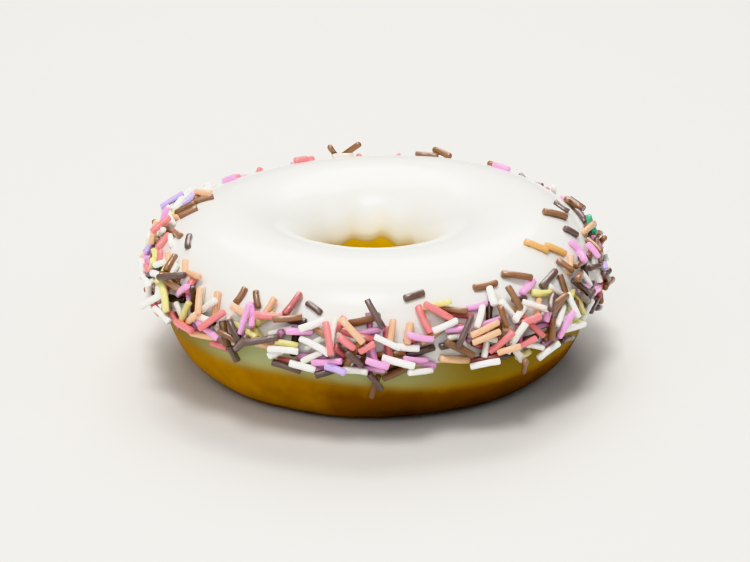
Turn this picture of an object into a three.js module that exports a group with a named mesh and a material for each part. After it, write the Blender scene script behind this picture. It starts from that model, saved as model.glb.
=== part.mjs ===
// An iced ring doughnut: a ring of fried dough and the coat of set icing that lies over its upper half.
//
// Lengths are in millimetres and angles in degrees until a function turns them to radians. +Z is up, the
// origin is on the surface that the doughnut stands on, under the middle of its bounding box, +X is to the
// right and -Y is the front. Both pieces are swept rings. "Round" is the angle about the hole, counter-clockwise
// from +X seen from above, and "tilt" is the angle round the ring's own section: 0 at the outermost point,
// 90 on the crest, 180 at the hole's waist and 270 at the foot.
import * as THREE from "three";
import { ParametricGeometry } from "three/addons/geometries/ParametricGeometry.js";

// Driving sizes of the dough ring.
const CREST_RADIUS = 28.55; // from the hole's axis to the highest line of the ring
const OUTER_REACH = 14.25; // from the crest line out to the widest line
const INNER_REACH = 16.55; // from the crest line in to the hole's waist
const WAIST_HEIGHT = 17.1; // height of the widest line above the table
const CROWN = 12.1; // from the waist up to the crest
const BELLY = 17.9; // from the waist down to the foot, before the foot is pressed flat

// How far the section departs from a plain ellipse: below 1 an arc is fuller, above 1 it is leaner.
const SHOULDER_FULLNESS = { outerReach: 0.86, outerRise: 1.03, innerReach: 1.0, innerRise: 1.08 };
const BELLY_FULLNESS = { outerReach: 0.9, outerRise: 0.86, innerReach: 0.9, innerRise: 0.88 };

// Unevenness of hand-cut, risen dough, each as waves round the ring.
const LEAN = 0.5; // how far the crown sits over to -X of the foot
const HOLE_SHIFT = 1.1; // how far the hole sits over to -X
const WIDTH_WAVES = [
  { share: 0.0078, waves: 2, at: 60 },
  { share: 0.008, waves: 3, at: -24 },
  { share: 0.002, waves: 7, at: 10 },
];
const HEIGHT_WAVES = [
  { share: 0.042, waves: 1, at: 15 },
  { share: 0.048, waves: 2, at: 20 },
];

// The icing, as it set: thickest at its outer lip, thinnest down in the hole.
const GAP = 0.3; // clearance between dough and icing
const COAT_ON_CREST = 1.5;
const OUTER_BEAD = 0.2; // extra thickness of the rounded outer lip
const INNER_THINNING = 0.55; // thickness lost towards the lip inside the hole
const BEAD_WIDTH = 0.14; // share of the coat's half width that the bead takes
const LIP_SHARE = 0.05; // share of the coat's half width in which each lip rounds over
const OUTER_LIP_TILT = -4.6; // where the coat ends on the outside
const INNER_LIP_TILT = 169.3; // where the coat ends inside the hole
const OUTER_LIP_WAVES = [
  { share: 2.8, waves: 2, at: 35 },
  { share: 1.1, waves: 9, at: -75 },
  { share: 0.7, waves: 14, at: -120 },
];
const INNER_LIP_WAVES = [
  { share: 1.9, waves: 13, at: 95.5 },
  { share: 1.0, waves: 3, at: 125 },
];

// Facets.
const ROUND_STEPS = 96;
const DOUGH_TILT_STEPS = 24;
const ICING_TILT_STEPS = 28;
const ICING_TOP_SHARE = 16 / 28; // the rest of the steps run back underneath

const doughMaterial = new THREE.MeshStandardMaterial({ color: 0xb9801f, roughness: 0.55, metalness: 0 });
const icingMaterial = new THREE.MeshStandardMaterial({ color: 0xf6f5ee, roughness: 0.3, metalness: 0 });

const radians = THREE.MathUtils.degToRad;
const mix = THREE.MathUtils.lerp;

// The sum of some waves at an angle round the ring. Each wave peaks at its own angle.
function ripple(waves, round) {
  return waves.reduce((sum, w) => sum + w.share * Math.cos(w.waves * (round - radians(w.at))), 0);
}

// A number raised to a power with its sign kept, which bends a circle's arc into a fuller or leaner one.
function bent(value, power) {
  return Math.sign(value) * Math.abs(value) ** power;
}

// The dough's section at an angle round the ring, as distance from the axis and height above the table.
function doughSection(round, tilt) {
  const across = Math.cos(tilt);
  const up = Math.sin(tilt);
  const outside = 0.5 + 0.5 * across;
  const fullness = up >= 0 ? SHOULDER_FULLNESS : BELLY_FULLNESS;
  const towardsLean = -Math.cos(round);
  const width = 1 + ripple(WIDTH_WAVES, round);
  const height = 1 + ripple(HEIGHT_WAVES, round);
  const reach = across >= 0 ? OUTER_REACH : INNER_REACH - HOLE_SHIFT * towardsLean;
  const rise = up >= 0 ? CROWN * height : BELLY;
  const offset = reach * bent(across, mix(fullness.innerReach, fullness.outerReach, outside));
  const level = rise * bent(up, mix(fullness.innerRise, fullness.outerRise, outside));
  const lean = LEAN * towardsLean * outside * (level / CROWN);
  return new THREE.Vector2(CREST_RADIUS * width + offset * width + lean, WAIST_HEIGHT + level);
}

// The same section moved outwards, square to its surface.
function aboveDough(round, tilt, distance) {
  const step = 1e-3;
  const here = doughSection(round, tilt);
  const along = doughSection(round, tilt + step).sub(doughSection(round, tilt - step)).normalize();
  return here.add(new THREE.Vector2(along.y, -along.x).multiplyScalar(distance));
}

// A point of the section, turned to its angle round the ring.
function swing(target, section, round) {
  return target.set(section.x * Math.cos(round), section.x * Math.sin(round), section.y);
}

// The ring of dough, with its foot pressed flat on the table.
function doughPoint(u, v, target) {
  const round = 2 * Math.PI * u;
  const section = doughSection(round, 2 * Math.PI * v);
  section.y = Math.max(section.y, 0);
  return swing(target, section, round);
}

// The thickness of the coat, with along running from -1 at the outer lip to 1 at the lip in the hole.
function coatThickness(along) {
  const bead = OUTER_BEAD * Math.exp(-(((along + 1 - BEAD_WIDTH) / BEAD_WIDTH) ** 2));
  const thinning = INNER_THINNING * THREE.MathUtils.smoothstep(along, 0, 1);
  return COAT_ON_CREST + bead - thinning;
}

// A quarter circle at each lip, from 0 at its edge to 1 where the coat has its full thickness.
function lipRounding(along) {
  const fromFull = 1 - Math.min((1 - Math.abs(along)) / LIP_SHARE, 1);
  return Math.sqrt(1 - fromFull ** 2);
}

// The coat of icing: out over the top from lip to lip, then back against the dough.
function icingPoint(u, v, target) {
  const round = 2 * Math.PI * u;
  const onTop = v < ICING_TOP_SHARE;
  const turn = (Math.PI * v) / ICING_TOP_SHARE;
  const along = onTop ? -Math.cos(turn) : 1 - (2 * (v - ICING_TOP_SHARE)) / (1 - ICING_TOP_SHARE);
  const outerLip = radians(OUTER_LIP_TILT + ripple(OUTER_LIP_WAVES, round));
  const innerLip = radians(INNER_LIP_TILT + ripple(INNER_LIP_WAVES, round));
  const tilt = mix(outerLip, innerLip, 0.5 + 0.5 * along);
  const lift = onTop ? coatThickness(along) * lipRounding(along) : 0;
  return swing(target, aboveDough(round, tilt, GAP + lift), round);
}

function makePiece(name, surface, tiltSteps, material) {
  const piece = new THREE.Mesh(new ParametricGeometry(surface, ROUND_STEPS, tiltSteps), material);
  piece.name = name;
  return piece;
}

const doughnut = new THREE.Group();
doughnut.add(makePiece("dough_ring", doughPoint, DOUGH_TILT_STEPS, doughMaterial));
doughnut.add(makePiece("icing", icingPoint, ICING_TILT_STEPS, icingMaterial));

// The origin goes under the middle of the whole ring, whichever way it leans.
const middle = new THREE.Box3().setFromObject(doughnut).getCenter(new THREE.Vector3());
doughnut.children.forEach((piece) => piece.position.set(-middle.x, -middle.y, 0));

export default doughnut;
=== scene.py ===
"""An iced ring doughnut: a ring of fried dough, a coat of set white icing and a band of sugar strands.

Lengths are in metres and angles in radians, unless a name or a comment says otherwise. +Z is up, -Y is the
front and the doughnut stands on z = 0. "Round" is the angle about the hole, counter-clockwise from +X seen
from above. "Tilt" is the angle round the ring's own section: 0 at the outermost point, a quarter turn on the
crest, half a turn at the hole's waist and three quarters at the foot.
"""

import logging
import math
import random
from dataclasses import dataclass, field
from enum import Enum
from typing import Callable, Iterable

import bmesh
import bpy
from mathutils import Matrix, Vector, noise


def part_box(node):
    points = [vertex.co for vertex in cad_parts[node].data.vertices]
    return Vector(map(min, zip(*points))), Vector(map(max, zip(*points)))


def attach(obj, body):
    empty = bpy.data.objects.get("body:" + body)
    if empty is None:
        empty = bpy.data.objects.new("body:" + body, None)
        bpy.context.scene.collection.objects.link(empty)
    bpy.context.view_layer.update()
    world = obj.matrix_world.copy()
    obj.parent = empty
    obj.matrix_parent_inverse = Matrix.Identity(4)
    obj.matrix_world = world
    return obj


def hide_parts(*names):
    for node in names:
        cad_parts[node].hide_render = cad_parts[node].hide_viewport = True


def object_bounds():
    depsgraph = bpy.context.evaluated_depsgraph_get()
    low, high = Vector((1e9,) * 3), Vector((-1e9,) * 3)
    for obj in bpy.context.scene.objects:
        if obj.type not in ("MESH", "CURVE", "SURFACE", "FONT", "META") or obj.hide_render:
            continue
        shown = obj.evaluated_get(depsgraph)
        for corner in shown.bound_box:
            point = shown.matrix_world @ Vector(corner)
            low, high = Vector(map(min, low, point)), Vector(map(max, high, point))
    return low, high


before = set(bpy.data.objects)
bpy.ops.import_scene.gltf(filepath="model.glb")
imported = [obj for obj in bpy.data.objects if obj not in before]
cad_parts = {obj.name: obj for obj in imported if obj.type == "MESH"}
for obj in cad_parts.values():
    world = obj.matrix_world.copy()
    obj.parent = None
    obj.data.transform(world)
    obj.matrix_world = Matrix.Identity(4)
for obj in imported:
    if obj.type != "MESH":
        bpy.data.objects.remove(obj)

CAD_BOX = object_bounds()
MM = 0.001
TURN = 2 * math.pi
BODY = "root"

log = logging.getLogger("doughnut")

Feed = bpy.types.NodeSocket | float | tuple[float, ...]  # what an input of a node takes
Stops = tuple[tuple[float, str], ...]  # levels in rising order, each with its sRGB colour


# ---------------- small helpers


def mix(low: float, high: float, share: float) -> float:
    """Returns the value that lies share of the way from low to high."""
    return low + (high - low) * share


def smooth_step(low: float, high: float, value: float) -> float:
    """Returns 0 below low, 1 above high and an S-shaped ease between them."""
    share = min(max((value - low) / (high - low), 0.0), 1.0)
    return share * share * (3 - 2 * share)


def bent(value: float, power: float) -> float:
    """Returns value raised to power with its sign kept, which makes a circle's arc fuller or leaner."""
    return math.copysign(abs(value) ** power, value)


def linear(hex_colour: str) -> tuple[float, float, float, float]:
    """Turns an sRGB colour into the linear one that shaders take.

    Args:
        hex_colour: The colour in hex, such as "C08A1E".

    Returns:
        Its red, green and blue, and an alpha of 1.
    """
    channels = [int(hex_colour[i : i + 2], 16) / 255 for i in (0, 2, 4)]
    rgb = [c / 12.92 if c <= 0.04045 else ((c + 0.055) / 1.055) ** 2.4 for c in channels]
    return (*rgb, 1.0)


@dataclass(frozen=True)
class Wave:
    """One wave round the ring: its height, how many times it repeats, and the degree where it peaks."""

    share: float
    waves: int
    at: float


Waves = tuple[Wave, ...]


@dataclass(frozen=True)
class Stretch:
    """A stretch round the ring, in degrees: its middle, how far it is full and how far it eases away."""

    middle: float
    full: float
    far: float

    def share(self, around: float) -> float:
        """Returns 1 where the stretch is full and 0 beyond it."""
        away = abs((math.degrees(around) - self.middle + 180) % 360 - 180)
        return smooth_step(self.far, self.full, away)


def ripple(waves: Waves, around: float) -> float:
    """Returns the sum of some waves at an angle round the ring, in the unit of their shares."""
    return sum(w.share * math.cos(w.waves * (around - math.radians(w.at))) for w in waves)


# ---------------- shapes


@dataclass
class RingSection:
    """The dough's section, swept round the hole with a little unevenness."""

    crest_radius: float = 28.55 * MM
    outer_reach: float = 14.25 * MM
    inner_reach: float = 16.55 * MM
    waist_height: float = 17.1 * MM
    crown: float = 12.1 * MM  # rise of the crest above the waist
    belly: float = 17.9 * MM  # drop below the waist, part of which is pressed flat
    lean: float = 0.5 * MM  # how far the crown's outside leans to the left
    hole_shift: float = 1.1 * MM  # how far the hole sits to the left
    # powers for (outer reach, outer rise, inner reach, inner rise), above the waist and below it
    shoulder: tuple[float, ...] = (0.86, 1.03, 1.0, 1.08)
    foot: tuple[float, ...] = (0.9, 0.86, 0.9, 0.88)
    width_waves: Waves = (Wave(0.0078, 2, 60), Wave(0.008, 3, -24), Wave(0.002, 7, 10))
    height_waves: Waves = (Wave(0.042, 1, 15), Wave(0.048, 2, 20))
    step: float = 1e-3  # the change of angle over which it measures a slope
    centre: Vector = field(default_factory=lambda: Vector((0, 0, 0)))

    def profile(self, around: float, tilt: float) -> Vector:
        """Finds a point of the section.

        Args:
            around: The angle round the ring.
            tilt: The angle round the section.

        Returns:
            Distance from the ring's axis and height above the table.
        """
        across, up = math.cos(tilt), math.sin(tilt)
        outside = 0.5 + 0.5 * across
        powers = self.shoulder if up >= 0 else self.foot
        towards_lean = -math.cos(around)
        width = 1 + ripple(self.width_waves, around)
        height = 1 + ripple(self.height_waves, around)
        reach = self.outer_reach if across >= 0 else self.inner_reach - self.hole_shift * towards_lean
        rise = self.crown * height if up >= 0 else self.belly
        offset = reach * bent(across, mix(powers[2], powers[0], outside))
        level = rise * bent(up, mix(powers[3], powers[1], outside))
        lean = self.lean * towards_lean * outside * level / self.crown
        return Vector((self.crest_radius * width + offset * width + lean, self.waist_height + level))

    def outward(self, around: float, tilt: float) -> Vector:
        """Returns the unit vector square to the section, in its own plane."""
        along = self.profile(around, tilt + self.step) - self.profile(around, tilt - self.step)
        return Vector((along.y, -along.x)).normalized()

    def above(self, around: float, tilt: float, distance: float) -> Vector:
        """Returns the section's point moved outwards, square to its surface."""
        return self.profile(around, tilt) + self.outward(around, tilt) * distance

    def swing(self, profile: Vector, around: float) -> Vector:
        """Returns a point of the section turned to its place round the hole."""
        place = Vector((profile.x * math.cos(around), profile.x * math.sin(around), profile.y))
        return place - self.centre

    def centre_on(self, node: str, around_steps: int = 96, tilt_steps: int = 24) -> None:
        """Moves the whole ring sideways so that the dough's box is centred where a CAD node's box is.

        Args:
            node: The CAD node that holds the dough.
            around_steps: Steps round the hole in that node.
            tilt_steps: Steps round its section.
        """
        low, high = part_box(node)
        spots = [
            self.swing(self.profile(TURN * i / around_steps, TURN * j / tilt_steps), TURN * i / around_steps)
            for i in range(around_steps)
            for j in range(tilt_steps)
        ]
        for axis in (0, 1):
            values = [spot[axis] for spot in spots]
            self.centre[axis] += (min(values) + max(values)) / 2 - (low[axis] + high[axis]) / 2


def swept_ring(
    name: str, around_steps: int, tilt_steps: int, place: Callable[[float, float], Vector]
) -> bpy.types.Object:
    """Spins a circle into a closed ring and moves each vertex to where a function says.

    Args:
        name: The new object's name.
        around_steps: Steps round the hole.
        tilt_steps: Steps round the section.
        place: Gives a vertex's place from its angle round the hole and round the section.

    Returns:
        The ring, smooth shaded, linked to the scene.
    """
    spine, tube = 1.0, 0.4
    bm = bmesh.new()
    upright = Matrix.Translation((spine, 0, 0)) @ Matrix.Rotation(math.pi / 2, 4, "X")
    bmesh.ops.create_circle(bm, segments=tilt_steps, radius=tube, matrix=upright)
    bmesh.ops.spin(
        bm, geom=bm.verts[:] + bm.edges[:], cent=(0, 0, 0), axis=(0, 0, 1), angle=TURN,
        steps=around_steps, use_merge=True,
    )
    bmesh.ops.recalc_face_normals(bm, faces=bm.faces[:])
    for vert in bm.verts:
        x, y, z = vert.co
        around = math.atan2(y, x) % TURN
        vert.co = place(around, math.atan2(z, math.hypot(x, y) - spine) % TURN)
    return finished_object(name, bm)


def finished_object(name: str, bm: bmesh.types.BMesh) -> bpy.types.Object:
    """Writes a bmesh to a new smooth-shaded object at the origin and frees it.

    Args:
        name: The object's name.
        bm: The bmesh.

    Returns:
        The object, linked to the scene.
    """
    for face in bm.faces:
        face.smooth = True
    mesh = bpy.data.meshes.new(name)
    bm.to_mesh(mesh)
    bm.free()
    piece = bpy.data.objects.new(name, mesh)
    bpy.context.scene.collection.objects.link(piece)
    return piece


def store(piece: bpy.types.Object, name: str, values: list[float]) -> None:
    """Stores one number for each vertex of a piece, for its material to read."""
    attribute = piece.data.attributes.new(name, "FLOAT", "POINT")
    attribute.data.foreach_set("value", values)


def relief(place: Vector, size: float, depth: float, seed: float = 0.0) -> float:
    """Returns smooth random relief between -depth and depth, in bumps about size wide."""
    return depth * noise.noise(place / size + Vector((seed, 1.7 * seed, -seed)))


# ---------------- materials


class Material:
    """A node material with a Principled shader, and the one way that its nodes are added."""

    def __init__(self, name: str, **uniform: float) -> None:
        """Makes the material.

        Args:
            name: The finish's name.
            uniform: Values for the shader's sockets, named as the sockets are with _ for a space.
        """
        self.data = bpy.data.materials.new(name)
        self.data.use_nodes = True
        self.tree = self.data.node_tree
        self.shader = self.tree.nodes["Principled BSDF"]
        for socket, value in uniform.items():
            self.shader.inputs[socket.replace("_", " ")].default_value = value

    def add(
        self, kind: str, settings: dict[str, str] | None = None, stops: Stops = (), **links: Feed
    ) -> bpy.types.Node:
        """Adds a node.

        Args:
            kind: The node's type name, without "ShaderNode".
            settings: Properties of the node itself.
            stops: The stops of a colour ramp.
            links: Inputs by name, with _ for a space: a socket to link, or a value to set.

        Returns:
            The node.
        """
        node = self.tree.nodes.new("ShaderNode" + kind)
        for key, value in (settings or {}).items():
            setattr(node, key, value)
        for index, (level, colour) in enumerate(stops):
            marks = node.color_ramp.elements
            mark = marks[index] if index < len(marks) else marks.new(level)
            mark.position = level
            mark.color = linear(colour)
        for key, value in links.items():
            self.feed(node, key.replace("_", " "), value)
        return node

    def feed(self, node: bpy.types.Node, name: str, value: Feed) -> None:
        """Links a socket into a node's input, or sets the input's value.

        Args:
            node: The node.
            name: The input's name, or "in" and its number where several share a name.
            value: The socket or the value.
        """
        index = int(name[2:]) if name.startswith("in") and name[2:].isdigit() else name
        target = node.inputs[index]
        if isinstance(value, bpy.types.NodeSocket):
            self.tree.links.new(value, target)
        else:
            target.default_value = value


@dataclass(frozen=True)
class FriedCrust:
    """The skin of yeast dough fried in oil: golden, darker to the foot, with a pale belt that stayed dry,
    painted shade on its right side and painted light on the crust in the hole.
    """

    # gold, amber and brown, each with its level of browning and painted shade
    fried: Stops = ((0.27, "BE8602"), (0.6, "744402"), (1.0, "371E0A"))
    # the belt where it is hardly paler than the rest, and where it is plainly pale
    belt: Stops = ((0.0, "947C3A"), (1.0, "BAC08E"))
    # painted light: a lighter gold for the crust in the hole, which lies in shade
    inside: str = "C69B24"
    mottle_width: float = 5 * MM  # clouds in the browning
    mottle: float = 0.06  # how much they brown or lighten it
    blister_width: float = 1.1 * MM  # fine blisters of the fried skin
    blister_height: float = 0.05 * MM

    def build(self) -> bpy.types.Material:
        """Mixes the crust's look.

        Returns:
            The material, which reads the dough's browning and painted shade, belt, paleness and painted light
            in the hole.
        """
        look = Material("fried_crust", Roughness=0.45, Specular_IOR_Level=0.03)
        spot = look.add("TexCoord").outputs["Object"]
        browning_and_shade, belt, paleness, inside = (
            look.add("Attribute", {"attribute_name": name}).outputs["Fac"]
            for name in ("browning_and_shade", "belt", "paleness", "inside")
        )
        clouds = look.add("TexNoise", Vector=spot, Scale=1 / self.mottle_width, Detail=4.0, Roughness=0.6)
        # most of the noise lies between 0.3 and 0.7
        swing = look.add(
            "MapRange", Value=clouds.outputs["Fac"], From_Min=0.3, From_Max=0.7, To_Min=-self.mottle,
            To_Max=self.mottle,
        )
        level = look.add("Math", {"operation": "ADD"}, in0=browning_and_shade, in1=swing.outputs["Result"])
        fried = look.add("ValToRGB", stops=self.fried, Fac=level.outputs["Value"]).outputs["Color"]
        pale = look.add("ValToRGB", stops=self.belt, Fac=paleness).outputs["Color"]
        outside = look.add("Mix", {"data_type": "RGBA"}, in0=belt, in6=fried, in7=pale).outputs[2]
        # painted light for the crust in the hole
        golden = linear(self.inside)
        skin = look.add("Mix", {"data_type": "RGBA"}, in0=inside, in6=outside, in7=golden).outputs[2]
        blisters = look.add("TexNoise", Vector=spot, Scale=1 / self.blister_width, Detail=3.0, Roughness=0.55)
        bump = look.add("Bump", Height=blisters.outputs["Fac"], Strength=1.0, Distance=self.blister_height)
        look.feed(look.shader, "Base Color", skin)
        look.feed(look.shader, "Normal", bump.outputs["Normal"])
        return look.data


@dataclass(frozen=True)
class SetIcing:
    """Poured sugar icing, set with a soft gloss. Where it is thin, the dough warms its white."""

    # white, ivory, honey and the gold of the dough behind it, each with its level of thinness
    colours: Stops = ((0.0, "E0DFDA"), (0.55, "E1DBCA"), (0.86, "DECDA2"), (1.0, "D4A852"))
    depths: tuple[float, ...] = (1.0, 0.9, 0.7)  # red goes deepest into the sugar, blue least
    undulation_width: float = 9 * MM
    undulation_height: float = 0.12 * MM

    def build(self) -> bpy.types.Material:
        """Mixes the icing's look.

        Returns:
            The material, which reads the coat's thinness.
        """
        look = Material(
            "set_icing", Roughness=0.27, Specular_IOR_Level=0.5, Subsurface_Weight=0.25,
            Subsurface_Scale=1.5 * MM, Coat_Weight=0.45, Coat_Roughness=0.14,
        )
        look.feed(look.shader, "Subsurface Radius", self.depths)
        spot = look.add("TexCoord").outputs["Object"]
        thinness = look.add("Attribute", {"attribute_name": "thinness"}).outputs["Fac"]
        colour = look.add("ValToRGB", stops=self.colours, Fac=thinness).outputs["Color"]
        waves = look.add("TexNoise", Vector=spot, Scale=1 / self.undulation_width, Detail=1.0)
        bump = look.add("Bump", Height=waves.outputs["Fac"], Strength=0.6, Distance=self.undulation_height)
        look.feed(look.shader, "Base Color", colour)
        look.feed(look.shader, "Normal", bump.outputs["Normal"])
        return look.data


@dataclass(frozen=True)
class SugarShell:
    """Pressed sugar strand under a film of wax: even colour, a light gloss, small differences in tone, and
    painted shade where other strands lie on it.
    """

    name: str
    colour: str
    shade_level: float = 0.62  # brightness of a white strand at full painted shade
    shade_power: float = 1.2  # darker colours get deeper painted shade, by this power of their lightness
    shade_tint: tuple[float, ...] = (1.0, 0.9, 0.82)  # what the painted shade leaves of red, green and blue
    lightness_shares: tuple[float, ...] = (0.21, 0.72, 0.07)  # of red, green and blue, to the eye
    grain_width: float = 0.9 * MM
    grain: float = 0.25  # how far the grain of the sugar changes the tone

    def build(self) -> bpy.types.Material:
        """Mixes the strand's look.

        Returns:
            The material, which reads the strands' tone, painted shade included.
        """
        look = Material(
            self.name, Roughness=0.32, Specular_IOR_Level=0.5, Coat_Weight=0.6, Coat_Roughness=0.12,
            Subsurface_Weight=0.2, Subsurface_Scale=0.8 * MM,
        )
        spot = look.add("TexCoord").outputs["Object"]
        grain = look.add("TexNoise", Vector=spot, Scale=1 / self.grain_width, Detail=2.0)
        tone = look.add("Attribute", {"attribute_name": "tone"}).outputs["Fac"]
        level = look.add(
            "Math", {"operation": "MULTIPLY_ADD"}, in0=grain.outputs["Fac"], in1=self.grain, in2=tone
        )
        base = linear(self.colour)
        # painted shade: the ramp's dark end, for strands that lie under others
        lightness = sum(share * c for share, c in zip(self.lightness_shares, base))
        left = self.shade_level * lightness**self.shade_power
        shaded = tuple(c * tint * left for c, tint in zip(base, self.shade_tint)) + (1.0,)
        ramp = look.add("ValToRGB", Fac=level.outputs["Value"])
        ramp.color_ramp.elements[0].color = shaded
        ramp.color_ramp.elements[1].color = base
        look.feed(look.shader, "Base Color", ramp.outputs["Color"])
        return look.data


# ---------------- the dough


@dataclass
class DoughRing:
    """The fried ring, from its darker foot to the part that the icing hides."""

    section: RingSection
    around_steps: int = 288
    tilt_steps: int = 120
    dent_width: float = 13 * MM
    dent_depth: float = 0.3 * MM
    pucker_width: float = 3.5 * MM
    pucker_depth: float = 0.07 * MM
    belt_edge: float = -19.2  # tilt in degrees where the pale belt ends on the outside
    edge_waves: Waves = (Wave(2.4, 1, 180), Wave(1.2, 4, -30), Wave(0.7, 9, 10))
    belt_gone: float = 4.0  # degrees of tilt below that edge
    belt_full: float = -7.0
    belt_low: Stretch = Stretch(-10, 56, 85)  # where the belt reaches lower, on the right side
    belt_drop: float = 6.0  # by how many degrees of tilt
    # where the belt is plainly pale
    belt_pale: tuple[Stretch, ...] = (Stretch(-108, 11.75, 47), Stretch(60, 15, 60))
    golden: float = 0.35  # browning of the crust where it stayed golden
    # painted shade on the right side, away from the key light, on top of that
    side_shade: tuple[tuple[Stretch, float], ...] = ((Stretch(-10, 70, 100), 0.5), (Stretch(-10, 95, 130), 0.16))
    side_shade_from: float = -4.0  # degrees of tilt below the belt's edge where that begins
    side_shade_over: float = 16.0  # degrees of tilt in which most of it builds up
    foot_darker: float = 0.2  # how much darker the foot gets, on top of that
    foot_from: float = 35.0  # degrees of tilt below the belt's edge
    foot_full: float = 65.0
    # tilts in degrees where the painted light on the crust in the hole begins, is full, fades and ends
    inside_tilts: tuple[float, ...] = (100, 150, 205, 250)

    def place(self, around: float, tilt: float) -> Vector:
        """Finds a vertex's place, with soft dents and puckers and the foot pressed flat.

        Args:
            around: The angle round the ring.
            tilt: The angle round the section.

        Returns:
            The place.
        """
        profile = self.section.profile(around, tilt)
        spot = self.section.swing(profile, around)
        bumps = relief(spot, self.dent_width, self.dent_depth)
        bumps += relief(spot, self.pucker_width, self.pucker_depth, seed=5.0)
        profile = self.section.above(around, tilt, bumps)
        profile.y = max(profile.y, 0.0)
        return self.section.swing(profile, around)

    def below_belt(self, around: float, tilt: float) -> float:
        """Returns how many degrees of tilt a spot lies below the pale belt's edge."""
        edge = self.belt_edge + ripple(self.edge_waves, around) - self.belt_drop * self.belt_low.share(around)
        return edge - (math.degrees(tilt) + 180) % 360 + 180

    def belt(self, around: float, tilt: float) -> float:
        """Returns 1 in the pale belt and 0 below it."""
        return smooth_step(self.belt_gone, self.belt_full, self.below_belt(around, tilt))

    def browning_and_shade(self, around: float, tilt: float) -> float:
        """Gives how far the crust is browned, with painted shade added on its right side and a darker foot.

        Args:
            around: The angle round the ring.
            tilt: The angle round the section.

        Returns:
            The level, from what golden says up to about 1.2 where it is darkest.
        """
        below = self.below_belt(around, tilt)
        # painted shade on the right side, building up below the belt's edge
        deeper = sum(amount * stretch.share(around) for stretch, amount in self.side_shade)
        deeper *= 1 - math.exp(-max(below - self.side_shade_from, 0.0) / self.side_shade_over)
        return self.golden + deeper + self.foot_darker * smooth_step(self.foot_from, self.foot_full, below)

    def paleness(self, around: float) -> float:
        """Returns how plainly pale the belt is at an angle round the ring, from 0 to 1."""
        return max(stretch.share(around) for stretch in self.belt_pale)

    def inside(self, tilt: float) -> float:
        """Returns 1 where the crust in the hole is painted lighter, as painted light in its shade, easing to
        0 at the foot and the crest.
        """
        begins, full, fades, ends = self.inside_tilts
        return smooth_step(begins, full, math.degrees(tilt)) * smooth_step(ends, fades, math.degrees(tilt))

    def build(self) -> bpy.types.Object:
        """Makes the ring and dresses it.

        Returns:
            The ring, riding on the root body in place of its CAD node.
        """
        angles: list[tuple[float, float]] = []

        def placed(around: float, tilt: float) -> Vector:
            """Returns a vertex's place, after noting its angles."""
            angles.append((around, tilt))
            return self.place(around, tilt)

        piece = swept_ring("dough", self.around_steps, self.tilt_steps, placed)
        store(piece, "browning_and_shade", [self.browning_and_shade(*pair) for pair in angles])
        store(piece, "belt", [self.belt(*pair) for pair in angles])
        store(piece, "paleness", [self.paleness(around) for around, _ in angles])
        store(piece, "inside", [self.inside(tilt) for _, tilt in angles])
        piece.data.materials.append(FriedCrust().build())
        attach(piece, BODY)
        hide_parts("dough_ring")
        return piece


# ---------------- the icing


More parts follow.
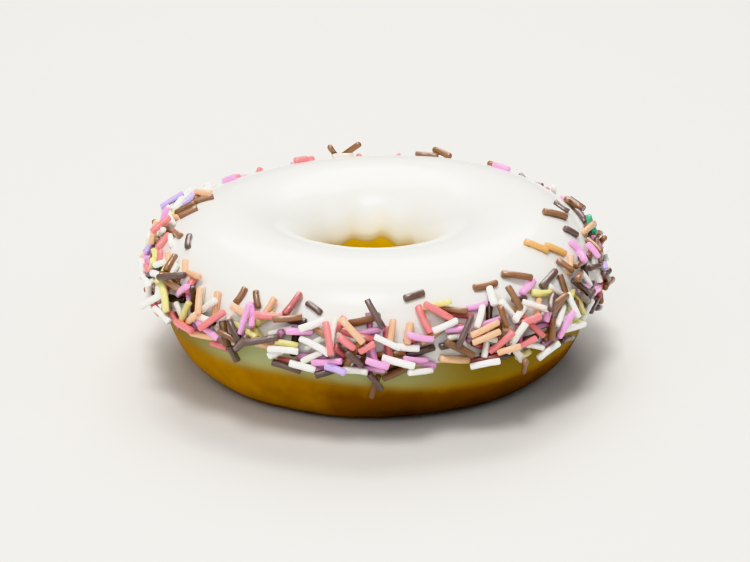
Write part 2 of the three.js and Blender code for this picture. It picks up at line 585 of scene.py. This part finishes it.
@dataclass
class IcingCoat:
    """The coat of icing, from its outer lip over the crest to its lip in the hole."""

    section: RingSection
    around_steps: int = 320
    loop_steps: int = 132
    clearance: float = 0.3 * MM
    on_crest: float = 1.5 * MM
    bead: float = 0.2 * MM  # how much thicker it is above the outer lip, where the icing gathered
    bead_width: float = 0.14  # how far above that lip, as a share of the way to the crest
    inner_thinning: float = 0.55 * MM  # thickness lost from the crest to the lip in the hole
    feather: float = 1.15 * MM  # thickness lost besides on the last stretch before that lip
    feather_from: float = 0.4  # where that stretch begins and ends, with 0 near the crest and 1 at the lip
    feather_to: float = 0.97
    sunk: float = 0.35 * MM  # how far its underside lies in the dough
    nose: float = 3.0  # degrees of tilt that the rounded outer lip takes
    nose_start: float = -40.0  # degrees: how far that lip curls under before it meets the dough
    wedge: float = 12.0  # degrees of tilt over which the coat runs out to nothing in the hole
    all_thin: float = 0.42  # share of that run-out, up from the lip, with the colour of the thinnest icing
    translucent: float = 29.0  # degrees of tilt above that lip over which the dough shows through
    outer_lip: float = -4.6  # tilt in degrees
    inner_lip: float = 177.6
    outer_waves: Waves = (
        Wave(2.8, 2, 35), Wave(1.1, 9, -75), Wave(0.7, 14, -120), Wave(0.4, 23, 40), Wave(0.25, 37, 0),
    )
    inner_waves: Waves = (
        Wave(1.8, 13, 96), Wave(1.1, 10, 99.5), Wave(2.2, 4, 136), Wave(0.3, 29, 80),
    )
    # shares of the loop at which the outer nose, the top and the inner nose end
    stations: tuple[float, ...] = (0.09, 0.6, 0.68)

    def thickness(self, along: float) -> float:
        """Finds the coat's thickness.

        Args:
            along: Where on its section, from -1 at the outer lip to 1 at the lip in the hole.

        Returns:
            The thickness.
        """
        bead = self.bead * math.exp(-(((along + 1 - self.bead_width) / self.bead_width) ** 2))
        thinned = self.inner_thinning * smooth_step(0, 1, along)
        thinned += self.feather * smooth_step(self.feather_from, self.feather_to, along)
        return self.on_crest + bead - thinned

    def lips(self, around: float) -> tuple[float, float]:
        """Returns the tilts in degrees of the outer lip and the lip in the hole."""
        outer = self.outer_lip + ripple(self.outer_waves, around)
        return outer, self.inner_lip + ripple(self.inner_waves, around)

    def surface(self, around: float, tilt: float) -> tuple[Vector, Vector]:
        """Finds a point on top of the coat and the direction that points out of it.

        Args:
            around: The angle round the ring.
            tilt: The angle round the section.

        Returns:
            The point and the unit normal.
        """
        outer, inner = (math.radians(lip) for lip in self.lips(around))
        along = mix(-1, 1, min(max((tilt - outer) / (inner - outer), 0), 1))
        spot = self.section.above(around, tilt, self.clearance + self.thickness(along))
        out = self.section.outward(around, tilt)
        normal = Vector((out.x * math.cos(around), out.x * math.sin(around), out.y))
        return self.section.swing(spot, around), normal

    def loop(self, around: float, share: float) -> tuple[float, float]:
        """Follows the coat's section once round: outer lip, top, inner lip and back underneath.

        Args:
            around: The angle round the ring.
            share: How far round the loop, from 0 to 1.

        Returns:
            The tilt, and the distance from the dough's surface.
        """
        outer, inner = self.lips(around)
        first, second, third = self.stations
        start = math.radians(self.nose_start)
        fullness = 1.0
        if share < first:
            turn = mix(start, math.pi / 2, share / first)
            tilt = outer + self.nose * (1 - math.cos(turn))
            fullness = (math.sin(turn) - math.sin(start)) / (1 - math.sin(start))
        elif share < second:
            tilt = mix(outer + self.nose, inner - self.wedge, (share - first) / (second - first))
        elif share < third:
            fullness = (third - share) / (third - second)
            tilt = inner - self.wedge * fullness
        else:
            lip = self.nose * (1 - math.cos(start))
            return math.radians(mix(inner, outer + lip, (share - third) / (1 - third))), -self.sunk
        along = mix(-1, 1, (tilt - outer) / (self.inner_lip - outer))
        lift = mix(-self.sunk, self.clearance + self.thickness(along), fullness)
        return math.radians(tilt), lift

    def build(self) -> bpy.types.Object:
        """Makes the coat and dresses it.

        Returns:
            The coat, riding on the root body in place of its CAD node.
        """
        thinness: list[float] = []

        def place(around: float, turn: float) -> Vector:
            """Finds a vertex's place and notes how thin the coat is there.

            Args:
                around: The angle round the ring.
                turn: The angle round the coat's own section.

            Returns:
                The place.
            """
            tilt, lift = self.loop(around, turn / TURN)
            above_lip = self.lips(around)[1] - self.wedge * self.all_thin - math.degrees(tilt)
            thinness.append(min(max(1 - above_lip / self.translucent, 0.0), 1.0))
            return self.section.swing(self.section.above(around, tilt, lift), around)

        piece = swept_ring("icing_coat", self.around_steps, self.loop_steps, place)
        store(piece, "thinness", thinness)
        piece.data.materials.append(SetIcing().build())
        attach(piece, BODY)
        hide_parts("icing")
        return piece


# ---------------- the sugar strands


class Flavour(Enum):
    """The strands' colours, each with its name in the record and its sRGB colour."""

    CHOCOLATE = ("strand_chocolate", "946B4B")
    DARK = ("strand_dark", "6C5851")
    PINK = ("strand_pink", "FDBAEC")
    WHITE = ("strand_white", "FDFDF6")
    ORANGE = ("strand_orange", "FACBA0")
    CORAL = ("strand_coral", "FA9292")
    YELLOW = ("strand_yellow", "F0EA9A")
    LILAC = ("strand_lilac", "D6BEF6")
    GREEN = ("strand_green", "4CB48C")
    AMBER = ("strand_amber", "EFBA6C")

    @property
    def slot(self) -> str:
        """Returns the record's material slot."""
        return self.value[0]

    @property
    def colour(self) -> str:
        """Returns the sRGB hex colour."""
        return self.value[1]


def mixture(**shares: int) -> dict[Flavour, int]:
    """Returns how often each colour turns up, from shares by the colours' names. Those left out never do."""
    return {flavour: shares.get(flavour.name.lower(), 0) for flavour in Flavour}


# the mixes on the ring's left side, at its front and back, and on its right side
LEFT_MIX = mixture(chocolate=13, dark=3, pink=6, white=28, orange=17, coral=17, yellow=15, lilac=1)
FRONT_MIX = mixture(chocolate=5, dark=3, pink=27, white=30, orange=8, coral=24, yellow=10, lilac=1)
RIGHT_MIX = mixture(chocolate=34, dark=24, pink=12, white=20, orange=4, coral=3, yellow=7, lilac=1, green=1)

# the bottom of the pile, seen only in the gaps between the strands on top, weighted to dark colours as
# painted shade there
BOTTOM_MIX = mixture(chocolate=34, dark=24, pink=12, white=9, orange=9, coral=12, yellow=3)


@dataclass
class Strand:
    """One sugar strand: a short rod with bevelled ends, where it lies and how bright it is."""

    flavour: Flavour
    around: float
    start: Vector
    end: Vector
    radius: float
    bow: Vector
    out: Vector
    tone: float

    @property
    def middle(self) -> Vector:
        """Returns the point halfway along it."""
        return (self.start + self.end) / 2

    @property
    def axis(self) -> tuple[Vector, Vector]:
        """Returns the ends of its core, which stops one radius short of the strand's own ends."""
        inset = (self.end - self.start).normalized() * self.radius
        return self.start + inset, self.end - inset


@dataclass(frozen=True)
class Placed:
    """A strand with a place of its own. Angles are in degrees and the length in mm."""

    flavour: Flavour
    around: float
    tilt: float
    yaw: float
    length: float


# strands that lie apart on the open icing, or on top of the band
PLACED = (
    Placed(Flavour.CHOCOLATE, 177, 58, 92, 4.6),
    Placed(Flavour.CHOCOLATE, 174, 70, 100, 4.6),
    Placed(Flavour.CHOCOLATE, -177, 62, 95, 4.0),
    Placed(Flavour.CHOCOLATE, 166, 61, 10, 5.6),
    Placed(Flavour.ORANGE, 168, 68, 90, 3.4),
    Placed(Flavour.WHITE, 173, 52, 165, 4.6),
    Placed(Flavour.WHITE, 176, 41, 95, 4.8),
    Placed(Flavour.PINK, -176, 47, 100, 3.6),
    Placed(Flavour.ORANGE, -175, 35, 110, 4.4),
    Placed(Flavour.CORAL, -171, 45, 110, 4.6),
    Placed(Flavour.LILAC, -177, 22, 70, 3.6),
    Placed(Flavour.PINK, 145, 60, 90, 3.6),
    Placed(Flavour.CORAL, 116, 66, 0, 3.2),
    Placed(Flavour.WHITE, 101, 66, 5, 4.6),
    Placed(Flavour.CHOCOLATE, 104, 64, 60, 4.6),
    Placed(Flavour.CHOCOLATE, 98, 64, 130, 5.2),
    Placed(Flavour.CHOCOLATE, 72, 66, 5, 5.0),
    Placed(Flavour.CHOCOLATE, 67, 64, 165, 4.6),
    Placed(Flavour.PINK, -15, 30, 75, 3.5),
    Placed(Flavour.PINK, -25, 35, 30, 3.5),
    Placed(Flavour.CHOCOLATE, -60, 20, 105, 4.0),
    Placed(Flavour.DARK, -45, 20, 30, 4.5),
    Placed(Flavour.PINK, 40, 70, 15, 4.0),
    Placed(Flavour.CHOCOLATE, -85, -5, 30, 6.0),
    Placed(Flavour.DARK, -155, 55, 150, 4.0),
    Placed(Flavour.DARK, -145, 30, 30, 5.5),
    Placed(Flavour.PINK, -140, 25, 30, 5.0),
    Placed(Flavour.WHITE, -150, 10, 45, 6.0),
    Placed(Flavour.ORANGE, -135, 10, 30, 6.0),
    Placed(Flavour.CHOCOLATE, -125, 35, 75, 3.5),
    Placed(Flavour.CHOCOLATE, -120, 35, 120, 3.5),
    Placed(Flavour.PINK, -120, 20, 75, 6.0),
    Placed(Flavour.DARK, -120, 5, 45, 5.0),
    Placed(Flavour.DARK, -125, -5, 120, 4.0),
    Placed(Flavour.CORAL, -110, 35, 75, 5.0),
    Placed(Flavour.CHOCOLATE, -110, 25, 15, 5.0),
    Placed(Flavour.WHITE, -110, 5, 0, 5.5),
    Placed(Flavour.DARK, -105, 35, 150, 3.5),
    Placed(Flavour.CORAL, -100, 15, 105, 6.0),
    Placed(Flavour.ORANGE, -95, 20, 135, 6.0),
    Placed(Flavour.DARK, -90, 30, 120, 6.0),
    Placed(Flavour.DARK, -80, 45, 15, 4.0),
    Placed(Flavour.PINK, -80, 15, 165, 5.0),
    Placed(Flavour.WHITE, -85, 0, 165, 6.0),
    Placed(Flavour.WHITE, -80, -5, 165, 5.0),
    Placed(Flavour.CHOCOLATE, -90, -15, 75, 5.0),
    Placed(Flavour.DARK, -90, -10, 120, 4.5),
    Placed(Flavour.DARK, -110, -5, 165, 5.5),
    Placed(Flavour.DARK, -100, -5, 15, 5.5),
    Placed(Flavour.DARK, -115, 10, 15, 6.0),
    Placed(Flavour.YELLOW, -75, 35, 0, 4.5),
    Placed(Flavour.CORAL, -75, 30, 150, 6.0),
    Placed(Flavour.DARK, -70, 15, 60, 6.0),
    Placed(Flavour.CHOCOLATE, -60, 45, 0, 5.0),
    Placed(Flavour.WHITE, -60, 35, 75, 4.0),
    Placed(Flavour.CHOCOLATE, -55, 30, 105, 5.0),
    Placed(Flavour.ORANGE, -65, 15, 15, 6.0),
    Placed(Flavour.ORANGE, -65, 10, 15, 5.5),
    Placed(Flavour.ORANGE, -60, 0, 15, 4.0),
    Placed(Flavour.WHITE, -65, -5, 15, 5.0),
    Placed(Flavour.CHOCOLATE, -55, -10, 120, 5.0),
    Placed(Flavour.CHOCOLATE, -50, 45, 150, 6.0),
    Placed(Flavour.DARK, -40, 35, 15, 6.0),
    Placed(Flavour.PINK, -40, 0, 60, 5.5),
    Placed(Flavour.WHITE, -45, -10, 30, 5.0),
    Placed(Flavour.AMBER, -35, 60, 120, 5.0),
    Placed(Flavour.AMBER, -30, 50, 135, 5.0),
    Placed(Flavour.DARK, -15, 50, 120, 3.5),
    Placed(Flavour.CHOCOLATE, -10, 65, 120, 5.5),
    Placed(Flavour.DARK, 0, 60, 60, 3.5),
    Placed(Flavour.GREEN, 0, 35, 90, 4.0),
    Placed(Flavour.CHOCOLATE, 45, 65, 0, 4.0),
)


PARALLEL = 1e-16  # nearest_gap() takes two segments as parallel below this


def nearest_gap(first: tuple[Vector, Vector], second: tuple[Vector, Vector]) -> float:
    """Finds how close two straight segments come.

    Args:
        first: The ends of one segment.
        second: The ends of the other.

    Returns:
        The shortest distance between them.
    """
    p, q = first[0], second[0]
    u, v, w = first[1] - p, second[1] - q, p - q
    a, b, c, d, e = u.dot(u), u.dot(v), v.dot(v), u.dot(w), v.dot(w)
    denominator = a * c - b * b
    s = min(max((b * e - c * d) / denominator, 0.0), 1.0) if denominator > PARALLEL else 0.5
    t = min(max((b * s + e) / c, 0.0), 1.0)
    s = min(max((b * t - d) / a, 0.0), 1.0)
    return (w + u * s - v * t).length


@dataclass
class StrandBand:
    """The strands round the icing's flank, piled as they were scattered and pressed on."""

    coat: IcingCoat
    seed: int = 11
    bottom: int = 150  # strands that lie first, low on the flank
    bottom_height: float = 0.45  # how far up the band the bottom of the pile reaches
    piled: int = 330  # strands that lie anyhow, over each other
    filled_in: int = 200  # strands that come last and lie only where they fit between the others
    radius: float = 0.68 * MM
    radius_spread: float = 0.07 * MM
    shortest: float = 2.9 * MM
    usual: float = 4.7 * MM
    longest: float = 6.6 * MM
    pressed_in: float = 0.3 * MM
    squeeze: float = 0.88  # strands may press into each other's wax down to this share of their radii
    lift_step: float = 0.3 * MM
    lift_levels: int = 13
    fill_levels: int = 2
    tries: int = 4
    steepest: float = 0.6  # how much more one end may be lifted than the other, as a share of the length
    past_lip: float = 1.5  # degrees of tilt that a strand's end may hang below the icing's lip
    droop: float = 7.0  # the same for the few that hang lower
    drooping: float = 0.07  # share of the strands that hang lower
    standing: float = 0.06  # share of the strands that stand up out of the pile
    standing_pitch: tuple[float, float] = (0.2, 0.6)  # how steeply they do
    stood_up: float = 0.32  # how far that raises their middle, as a share of their rise
    wander: float = 0.06  # how far round the ring a strand may land from where it is dropped
    along_ring: float = 0.5  # share of the landings that run roughly round the ring
    along_ring_spread: float = 0.4
    heaping: tuple[float, float] = (1.15, 1.9)  # beta shape of the band's height, thickest low down
    bow: float = 0.2 * MM  # how far a strand's middle may stray from straight
    tones: tuple[float, float] = (0.8, 1.0)
    # which strands get painted shade from those lying on top of them
    over: float = 0.5 * MM  # how much higher a strand's middle lies than that of one below it
    touching: float = 1.7 * MM  # how near their cores come
    shade_per_cover: float = 0.3  # painted shade: tone that a strand loses to each one on top of it
    top: float = 43.5  # tilt in degrees of the band's upper limit
    top_waves: Waves = (Wave(10.5, 1, 125), Wave(5.8, 2, -14), Wave(3.0, 3, -56))
    sectors: int = 20
    sides: int = 10  # faces round a strand, every other edge of them a ridge
    furrow: float = 0.92  # radius of the edges between the ridges, as a share of the radius
    cut: float = 0.78  # radius of the cut ends, as a share of the radius
    bevel: float = 0.25  # length of the bevel behind them, as a share of the radius
    bow_rings: float = 0.35  # where the rings that let a strand bow lie, as a share of half its length
    strands: list[Strand] = field(default_factory=list)

    def near(self, around: float) -> list[Strand]:
        """Finds the strands already laid about a place.

        Args:
            around: The angle round the ring.

        Returns:
            Those in its sector of the ring and in the two beside it.
        """
        here = round(around / TURN * self.sectors)
        wanted = {(here + step) % self.sectors for step in (-1, 0, 1)}
        return [s for s in self.strands if round(s.around / TURN * self.sectors) % self.sectors in wanted]

    def lie(
        self, around: float, tilt: float, yaw: float, length: float, radius: float, pitch: float = 0.0,
        levels: int | None = None,
    ) -> tuple[Vector, Vector] | None:
        """Lays a strand on the icing, lifted at either end over the strands already there.

        Args:
            around: Where it lies round the ring.
            tilt: Where it lies on the section.
            yaw: Its direction on the surface: 0 runs round the ring, a quarter turn runs up it.
            length: Its whole length.
            radius: Its radius.
            pitch: How far it stands up out of the surface.
            levels: How many steps its ends may be lifted, if not as many as usual.

        Returns:
            Its two ends, or None where it would have to lie too high.
        """
        spot, normal = self.coat.surface(around, tilt)
        round_way = Vector((-math.sin(around), math.cos(around), 0))
        way = round_way * math.cos(yaw) + normal.cross(round_way) * math.sin(yaw)
        way = way * math.cos(pitch) + normal * math.sin(pitch)
        base = spot + normal * (radius - self.pressed_in + abs(math.sin(pitch)) * length * self.stood_up)
        reach = length / 2
        near = [s for s in self.near(around) if (s.middle - base).length < reach + self.longest]
        for first, second in self.lifts(length, levels or self.lift_levels):
            start = base - way * reach + normal * first
            end = base + way * reach + normal * second
            inset = (end - start).normalized() * radius
            axis = (start + inset, end - inset)
            if all(nearest_gap(axis, s.axis) >= (radius + s.radius) * self.squeeze for s in near):
                return start, end
        return None

    def lifts(self, length: float, levels: int) -> Iterable[tuple[float, float]]:
        """Goes through how high a strand's two ends may be lifted, lowest first and never too steep.

        Args:
            length: The strand's length.
            levels: How many steps an end may be lifted.

        Yields:
            The lift of its start and of its end.
        """
        steepest = self.steepest * length / self.lift_step
        for both in range(2 * levels - 1):
            for first in range(both + 1):
                if abs(2 * first - both) < steepest:
                    yield first * self.lift_step, (both - first) * self.lift_step

    def scatter(self) -> None:
        """Lays all the strands: the pile, those with a place of their own, and those that fill in."""
        rng = random.Random(self.seed)
        for _ in range(self.bottom):
            self.drop(rng, self.fill_levels, self.bottom_height, BOTTOM_MIX)
        for _ in range(self.piled):
            self.drop(rng, self.lift_levels)
        for placed in PLACED:
            radius = self.radius + rng.uniform(-1, 1) * self.radius_spread
            angles = [math.radians(angle) for angle in (placed.around % 360, placed.tilt, placed.yaw)]
            ends = self.lie(*angles, placed.length * MM, radius)
            if ends:
                self.add(rng, placed.flavour, *angles[:2], ends, radius)
        for _ in range(self.filled_in):
            self.drop(rng, self.fill_levels)
        # painted shade on the strands that lie under others
        self.shade_covered()

    def drop(
        self, rng: random.Random, levels: int, height: float = 1.0, flavours: dict[Flavour, int] | None = None
    ) -> None:
        """Drops one strand of the band: of a few places it could land, it keeps the lowest.

        Args:
            rng: Gives the random numbers.
            levels: How many steps its ends may be lifted.
            height: How far up the band it may land.
            flavours: How often each colour turns up, if not as on its side of the ring.
        """
        around = rng.uniform(0, TURN)
        side = math.cos(around)
        mixed = {f: mix(FRONT_MIX[f], (RIGHT_MIX if side > 0 else LEFT_MIX)[f], abs(side)) for f in Flavour}
        weights = [(flavours or mixed)[f] for f in Flavour]
        flavour = rng.choices(list(Flavour), weights)[0]
        length = rng.triangular(self.shortest, self.longest, self.usual)
        radius = self.radius + rng.uniform(-1, 1) * self.radius_spread
        pitch = rng.uniform(*self.standing_pitch) if rng.random() < self.standing else 0.0
        past_lip = self.droop if rng.random() < self.drooping else self.past_lip
        best = None
        for _ in range(self.tries):
            where = around + rng.uniform(-self.wander, self.wander)
            along = rng.random() < self.along_ring
            yaw = rng.gauss(0, self.along_ring_spread) if along else rng.uniform(0, math.pi)
            half_height = math.degrees(abs(math.sin(yaw)) * length / 2 / self.coat.section.outer_reach)
            lower = self.coat.lips(where)[0] - past_lip + half_height
            upper = self.top + ripple(self.top_waves, where)
            tilt = math.radians(mix(lower, upper, height * rng.betavariate(*self.heaping)))
            ends = self.lie(where, tilt, yaw, length, radius, pitch, levels)
            if not ends:
                continue
            spot, normal = self.coat.surface(where, tilt)
            lift = ((ends[0] + ends[1]) / 2 - spot).dot(normal)
            if best is None or lift < best[0]:
                best = (lift, where % TURN, tilt, ends)
        if best:
            self.add(rng, flavour, *best[1:], radius)

    def add(
        self, rng: random.Random, flavour: Flavour, around: float, tilt: float, ends: tuple[Vector, Vector],
        radius: float,
    ) -> None:
        """Keeps a strand, with a slight bow and a tone of its own.

        Args:
            rng: Gives the random numbers.
            flavour: Its colour.
            around: Where it lies round the ring.
            tilt: Where it lies on the section.
            ends: Its two ends.
            radius: Its radius.
        """
        bow = Vector([rng.uniform(-1, 1) for _ in range(3)]) * self.bow
        out = self.coat.surface(around, tilt)[1]
        self.strands.append(Strand(flavour, around, *ends, radius, bow, out, rng.uniform(*self.tones)))

    def shade_covered(self) -> None:
        """Paints shade on each strand, darker by how many lie across the top of it."""
        for strand in self.strands:
            for other in self.near(strand.around):
                over = (other.middle - strand.middle).dot(strand.out)
                if over > self.over and nearest_gap(strand.axis, other.axis) < self.touching:
                    strand.tone -= self.shade_per_cover

    def rod(self) -> bpy.types.Mesh:
        """Makes the mesh that all strands share: a furrowed rod of radius 1 with flat ends.

        Returns:
            The mesh, its rings of vertices at z = 0, 1 and so on.
        """
        bm = bmesh.new()
        bmesh.ops.create_circle(bm, cap_ends=True, segments=self.sides, radius=self.cut)
        rim = bm.edges[:]
        radii = (self.cut, 1.0, 1.0, 1.0, 1.0, self.cut)
        for before, after in zip(radii, radii[1:]):
            made = bmesh.ops.extrude_edge_only(bm, edges=rim)["geom"]
            verts = [g for g in made if isinstance(g, bmesh.types.BMVert)]
            rim = [g for g in made if isinstance(g, bmesh.types.BMEdge) and all(v in verts for v in g.verts)]
            bmesh.ops.translate(bm, verts=verts, vec=(0, 0, 1))
            bmesh.ops.scale(bm, verts=verts, vec=(after / before, after / before, 1))
        bmesh.ops.contextual_create(bm, geom=rim)
        for vert in bm.verts:
            ridge = round(math.atan2(vert.co.y, vert.co.x) / TURN * self.sides) % 2
            vert.co.xy *= 1.0 if ridge else self.furrow
        bmesh.ops.recalc_face_normals(bm, faces=bm.faces[:])
        mesh = bpy.data.meshes.new("rod")
        bm.to_mesh(mesh)
        bm.free()
        return mesh

    def build(self) -> list[bpy.types.Object]:
        """Lays the strands and dresses them.

        Returns:
            One piece for each colour, riding on the root body.
        """
        self.scatter()
        rod = self.rod()
        pieces = []
        for flavour in Flavour:
            chosen = [s for s in self.strands if s.flavour is flavour]
            if chosen:
                pieces.append(self.join(flavour, chosen, rod))
        bpy.data.meshes.remove(rod)
        return pieces

    def join(self, flavour: Flavour, chosen: list[Strand], rod: bpy.types.Mesh) -> bpy.types.Object:
        """Joins the strands of one colour into one piece.

        Args:
            flavour: Their colour.
            chosen: The strands.
            rod: The mesh that each is a copy of.

        Returns:
            The dressed piece.
        """
        bm = bmesh.new()
        tones: list[float] = []
        for strand in chosen:
            bm.from_mesh(rod)
            bm.verts.ensure_lookup_table()
            self.bend(strand, bm.verts[len(tones) :])
            tones += [strand.tone] * len(rod.vertices)
        piece = finished_object(flavour.slot, bm)
        store(piece, "tone", tones)
        piece.data.materials.append(SugarShell(flavour.slot, flavour.colour).build())
        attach(piece, BODY)
        flavour.slot
        return piece

    def bend(self, strand: Strand, verts: list[bmesh.types.BMVert]) -> None:
        """Moves a copied rod's vertices to where its strand lies.

        Args:
            strand: The strand.
            verts: The copy's vertices, still at the heights that rod gives them.
        """
        half = (strand.end - strand.start).length / 2
        turn = (strand.end - strand.start).to_track_quat("Z", "Y").to_matrix()
        bevel = self.bevel * strand.radius
        ring = self.bow_rings * half
        heights = (-half, bevel - half, -ring, ring, half - bevel, half)
        for vert in verts:
            height = heights[round(vert.co.z)]
            spot = Vector((vert.co.x * strand.radius, vert.co.y * strand.radius, height))
            vert.co = strand.middle + turn @ spot + strand.bow * (1 - (height / half) ** 2)


# ---------------- the stage


@dataclass(frozen=True)
class SoftBox:
    """A square lamp: degrees from the camera's side and above the floor, length of its sides, and watts."""

    name: str
    azimuth: float
    elevation: float
    size: float
    power: float


@dataclass
class Studio:
    """A pale floor, a soft studio light and the camera."""

    centre: Vector
    elevation: float = 20.955  # degrees
    distance: float = 400 * MM
    lens: float = 95.75  # mm
    aim: Vector = field(default_factory=lambda: Vector((-0.112, -0.24, 14.42)) * MM)
    floor_radius: float = 3.0
    floor_colour: str = "CCCAC6"
    room_colour: str = "FFFFFF"
    room_light: float = 0.14
    box_distance: float = 0.9
    boxes: tuple[SoftBox, ...] = (
        SoftBox("overhead_box", -10, 72, 0.25, 4.2),
        SoftBox("back_box", 180, 55, 0.7, 8.4),
        SoftBox("key_box", -40, 50, 0.8, 3.3),
        SoftBox("front_box", 0, 30, 0.6, 2.2),
        SoftBox("left_box", -75, 38, 0.5, 0.5),
        SoftBox("right_box", 75, 38, 0.5, 1.1),
    )

    def floor(self) -> bpy.types.Object:
        """Lays the floor, a plain pale sheet that carries no part of the doughnut.

        Returns:
            The floor.
        """
        bm = bmesh.new()
        bmesh.ops.create_circle(bm, cap_ends=True, segments=96, radius=self.floor_radius)
        sheet = finished_object("floor", bm)
        # matt emulsion paint, rolled on: no gloss, so the floor shows nothing but the shadow
        look = Material("matt_paint", Roughness=0.85)
        look.feed(look.shader, "Base Color", linear(self.floor_colour))
        sheet.data.materials.append(look.data)
        return sheet

    def hang(self, box: SoftBox) -> None:
        """Hangs a soft box so that it faces the doughnut.

        Args:
            box: The soft box.
        """
        azimuth, elevation = math.radians(box.azimuth), math.radians(box.elevation)
        flat = math.cos(elevation)
        back = Vector((math.sin(azimuth) * flat, -math.cos(azimuth) * flat, math.sin(elevation)))
        light = bpy.data.lights.new(box.name, "AREA")
        light.size = box.size
        light.energy = box.power
        lamp = bpy.data.objects.new(box.name, light)
        lamp.location = self.centre + back * self.box_distance
        lamp.rotation_euler = back.to_track_quat("Z", "Y").to_euler()
        bpy.context.scene.collection.objects.link(lamp)

    def camera(self) -> bpy.types.Object:
        """Sets up the camera, which looks down on the front.

        Returns:
            The camera.
        """
        rise = math.radians(self.elevation)
        back = Vector((0, -math.cos(rise), math.sin(rise)))
        data = bpy.data.cameras.new("camera")
        data.lens = self.lens
        data.clip_start = 0.01
        camera = bpy.data.objects.new("camera", data)
        camera.location = self.aim + back * self.distance
        camera.rotation_euler = back.to_track_quat("Z", "Y").to_euler()
        bpy.context.scene.collection.objects.link(camera)
        bpy.context.scene.camera = camera
        return camera

    def build(self) -> None:
        """Sets up the floor, the lights, the world and the camera."""
        self.floor()
        for box in self.boxes:
            self.hang(box)
        world = bpy.data.worlds.new("room")
        world.use_nodes = True
        sky = world.node_tree.nodes["Background"]
        sky.inputs["Color"].default_value = linear(self.room_colour)
        sky.inputs["Strength"].default_value = self.room_light
        bpy.context.scene.world = world
        bpy.context.scene.view_settings.view_transform = "Khronos PBR Neutral"
        self.camera()


def main() -> None:
    """Builds the doughnut and its stage."""
    logging.basicConfig(level=logging.INFO, format="%(name)s: %(message)s")
    section = RingSection()
    section.centre_on("dough_ring")
    low, high = CAD_BOX
    Studio((low + high) / 2).build()
    pieces = [DoughRing(section).build()]
    coat = IcingCoat(section)
    pieces.append(coat.build())
    pieces += StrandBand(coat).build()
    for piece in pieces:
        log.info("%s: %d faces", piece.name, len(piece.data.polygons))


if __name__ == "__main__":
    main()
